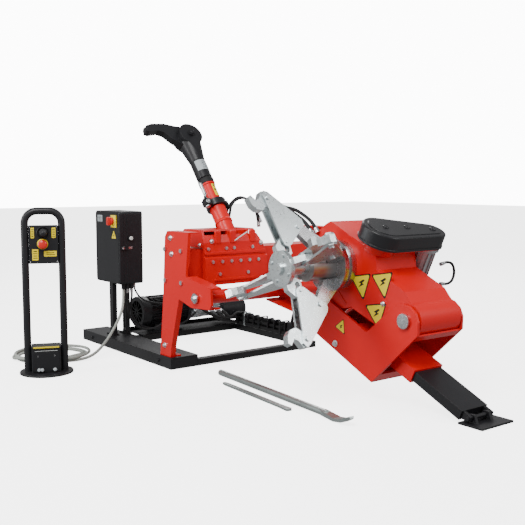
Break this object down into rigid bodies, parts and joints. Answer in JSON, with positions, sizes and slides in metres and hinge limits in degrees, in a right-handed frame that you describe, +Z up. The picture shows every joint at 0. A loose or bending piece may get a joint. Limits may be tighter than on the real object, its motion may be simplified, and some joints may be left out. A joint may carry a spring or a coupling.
{
  "type": "mobile truck tyre changer",
  "caption": "Low mobile tyre changer for lorry wheels: a hydraulic jaw chuck on a lifting arm, a sliding tool arm, a power pack and a wired control post.",
  "frame": {"origin": "centre of the four floor bolts, on the floor", "axes": "+X to the right along the front beam, +Y back along the side beams, +Z up"},
  "size_m": [1.581, 2.4944, 1.206],
  "materials": {
    "red_paint": "gloss paint over steel plate",
    "black_paint": "satin black powder coat",
    "zinc": "bright zinc plated, faintly blue",
    "bright_steel": "turned steel",
    "drive_casting": "cast and lightly weathered",
    "valve_metal": "machined valve block",
    "bronze": "bearing bronze",
    "nylon": "slide nylon",
    "black_plastic": "moulded, low gloss",
    "red_plastic": "moulded",
    "yellow_plastic": "moulded",
    "white_plastic": "moulded",
    "hose_rubber": "braided hydraulic hose cover",
    "cable_sheath": "grey cable sheath",
    "lever_steel": "forged, zinc washed"
  },
  "bodies": {
    "base": {"left_beam": "black_paint", "right_beam": "black_paint", "cross_beams": "black_paint", "left_portal_leg": "red_paint", "right_portal_leg": "red_paint", "slide_rail": "red_paint", "portal_bolts": "zinc", "fold_pins": "bright_steel", "cabinet_legs": "black_paint", "cabinet_box": "black_paint", "cabinet_fittings": "black_plastic", "pack_tray": "black_paint", "pack_motor": "black_paint", "pump_and_valves": "valve_metal", "oil_tank": "black_paint", "beam_hoses": "hose_rubber", "hose_clamps": "black_paint", "post_frame": "black_paint", "post_box": "black_paint", "post_panel": "black_paint", "control_cable": "cable_sheath", "cable_coil": "cable_sheath"},
    "cabinet_door": {"cabinet_door": "black_paint", "switch_plate": "yellow_plastic"},
    "switch_knob": {"switch_knob": "red_plastic"},
    "start_button": {"start_button": "white_plastic"},
    "carriage": {"carriage_body": "red_paint", "slide_pads": "nylon", "pad_bolts": "zinc", "tilt_pin": "bright_steel"},
    "tool_arm": {"arm_outer_tube": "red_paint"},
    "clamp_lever": {"clamp_lever": "zinc"},
    "arm_inner": {"arm_inner_tube": "red_paint"},
    "head": {"head_collar": "black_paint", "tool_head": "black_paint"},
    "unit": {"fold_carrier": "red_paint", "yoke": "red_paint", "pivot_pin": "bright_steel"},
    "leg": {"support_leg": "black_paint"},
    "foot": {"foot_plate": "black_paint"},
    "arm": {"chuck_arm": "red_paint", "pivot_bushes": "bronze", "belt_cover": "black_plastic", "gear_motor": "drive_casting"},
    "worm": {"worm_shaft": "bright_steel"},
    "motor_pulley": {"drive_pulley": "bright_steel"},
    "spindle": {"chuck_spindle": "bright_steel", "chuck_cylinder": "bright_steel"},
    "star": {"star_plate": "zinc"},
    "jaw_1": {"chuck_jaw_1": "zinc"},
    "jaw_2": {"chuck_jaw_2": "zinc"},
    "jaw_3": {"chuck_jaw_3": "zinc"},
    "jaw_4": {"chuck_jaw_4": "zinc"},
    "lift_barrel": {"lift_cylinder": "bright_steel"},
    "lift_rod": {"lift_rod": "bright_steel"},
    "joystick_ring": {"joystick_ring": "black_plastic"},
    "joystick": {"joystick": "black_plastic"},
    "stop_button": {"stop_button": "red_plastic"},
    "bead_lever": {"bead_lever": "lever_steel"},
    "flat_lever": {"flat_lever": "lever_steel"}
  },
  "joints": [
    {"name": "carriage_slide", "type": "slide", "parent": "base", "child": "carriage", "axis": [1, 0, 0], "range_m": [-0.05, 0.34]},
    {"name": "tool_arm_tilt", "type": "hinge", "parent": "carriage", "child": "tool_arm", "pos_m": [-0.151, -0.387, 0.634], "axis": [1, 0, 0], "range_deg": [-1.5, 50]},
    {"name": "arm_extend", "type": "slide", "parent": "tool_arm", "child": "arm_inner", "axis": [0, 0.6157, 0.788], "range_m": [-0.02, 0.1]},
    {"name": "head_turn", "type": "hinge", "parent": "arm_inner", "child": "head", "pos_m": [-0.151, -0.14073, 0.9492], "axis": [0, 0.6157, 0.788], "range_deg": [0, 180]},
    {"name": "clamp_lever_turn", "type": "hinge", "parent": "tool_arm", "child": "clamp_lever", "pos_m": [-0.221, -0.29048, 0.79653], "axis": [0, 0.6157, 0.788], "range_deg": [-70, 0]},
    {"name": "yoke_fold", "type": "hinge", "parent": "base", "child": "unit", "pos_m": [-0.487, -0.59, 0.372], "axis": [1, 0, 0], "range_deg": [-55, 0]},
    {"name": "leg_extend", "type": "slide", "parent": "unit", "child": "leg", "axis": [0, -0.9135, -0.4067], "range_m": [-0.18, 0.06]},
    {"name": "foot_hinge", "type": "hinge", "parent": "leg", "child": "foot", "pos_m": [0, -1.8134, 0.02627], "axis": [1, 0, 0], "range_deg": [-10, 10]},
    {"name": "arm_lift", "type": "hinge", "parent": "unit", "child": "arm", "pos_m": [0, -1.541, 0.361], "axis": [1, 0, 0], "range_deg": [0, 40]},
    {"name": "lift_barrel_swing", "type": "hinge", "parent": "unit", "child": "lift_barrel", "pos_m": [0, -1.04139, 0.27147], "axis": [1, 0, 0], "range_deg": [-7.5, 0.5]},
    {"name": "lift_rod_slide", "type": "slide", "parent": "lift_barrel", "child": "lift_rod", "axis": [0, -0.8123, 0.5832], "range_m": [-0.001, 0.21]},
    {"name": "spindle_spin", "type": "hinge", "parent": "arm", "child": "spindle", "pos_m": [0, -1.15012, 0.55255], "axis": [1, 0, 0], "continuous": true},
    {"name": "worm_spin", "type": "hinge", "parent": "arm", "child": "worm", "pos_m": [-0.063, -1.26694, 0.48302], "axis": [0, -0.4067, 0.9135], "continuous": true},
    {"name": "motor_spin", "type": "hinge", "parent": "arm", "child": "motor_pulley", "pos_m": [0.181, -1.30165, 0.46757], "axis": [0, -0.4067, 0.9135], "continuous": true},
    {"name": "star_slide", "type": "slide", "parent": "spindle", "child": "star", "axis": [1, 0, 0], "range_m": [-0.006, 0.039]},
    {"name": "jaw_1_turn", "type": "hinge", "parent": "spindle", "child": "jaw_1", "pos_m": [-0.301, -1.07827, 0.70662], "axis": [0, -0.9063, 0.4226], "range_deg": [-3, 26]},
    {"name": "jaw_2_turn", "type": "hinge", "parent": "spindle", "child": "jaw_2", "pos_m": [-0.301, -1.30419, 0.62439], "axis": [0, -0.4226, -0.9063], "range_deg": [-3, 26]},
    {"name": "jaw_3_turn", "type": "hinge", "parent": "spindle", "child": "jaw_3", "pos_m": [-0.301, -1.22196, 0.39848], "axis": [0, 0.9063, -0.4226], "range_deg": [-3, 26]},
    {"name": "jaw_4_turn", "type": "hinge", "parent": "spindle", "child": "jaw_4", "pos_m": [-0.301, -0.99604, 0.4807], "axis": [0, 0.4226, 0.9063], "range_deg": [-3, 26]},
    {"name": "door_swing", "type": "hinge", "parent": "base", "child": "cabinet_door", "pos_m": [-0.417, 0.519, 0.545], "axis": [0, 0, 1], "range_deg": [-110, 0]},
    {"name": "switch_turn", "type": "hinge", "parent": "cabinet_door", "child": "switch_knob", "pos_m": [-0.457, 0.284, 0.69], "axis": [1, 0, 0], "range_deg": [0, 90]},
    {"name": "start_push", "type": "slide", "parent": "base", "child": "start_button", "axis": [0, 1, 0], "range_m": [0, 0.0025], "stiffness_N_per_m": 700},
    {"name": "stop_push", "type": "slide", "parent": "base", "child": "stop_button", "axis": [0.3746, 0.9272, 0], "range_m": [0, 0.004], "stiffness_N_per_m": 700},
    {"name": "joystick_ring_tilt", "type": "hinge", "parent": "base", "child": "joystick_ring", "pos_m": [-0.97912, -0.05378, 0.664], "axis": [0.9272, -0.3746, 0], "range_deg": [-10, 10], "stiffness_Nm_per_rad": 1.2},
    {"name": "joystick_tilt", "type": "hinge", "parent": "joystick_ring", "child": "joystick", "pos_m": [-0.97912, -0.05378, 0.664], "axis": [0, 0, 1], "range_deg": [-10, 10], "stiffness_Nm_per_rad": 1},
    {"name": "bead_lever_lift", "type": "slide", "parent": "base", "child": "bead_lever", "axis": [0, 0, 1], "range_m": [0, 0.2]},
    {"name": "flat_lever_lift", "type": "slide", "parent": "base", "child": "flat_lever", "axis": [0, 0, 1], "range_m": [0, 0.2]}
  ],
  "couplings": [
    {"joint": "lift_barrel_swing", "follows": "arm_lift", "ratio": -0.15},
    {"joint": "lift_rod_slide", "follows": "arm_lift", "m_per_rad": 0.2555},
    {"joint": "worm_spin", "follows": "spindle_spin", "ratio": 30},
    {"joint": "motor_spin", "follows": "spindle_spin", "ratio": 60},
    {"joint": "star_slide", "follows": "jaw_1_turn", "m_per_rad": 0.082},
    {"joint": "jaw_2_turn", "follows": "jaw_1_turn", "ratio": 1},
    {"joint": "jaw_3_turn", "follows": "jaw_1_turn", "ratio": 1},
    {"joint": "jaw_4_turn", "follows": "jaw_1_turn", "ratio": 1}
  ]
}
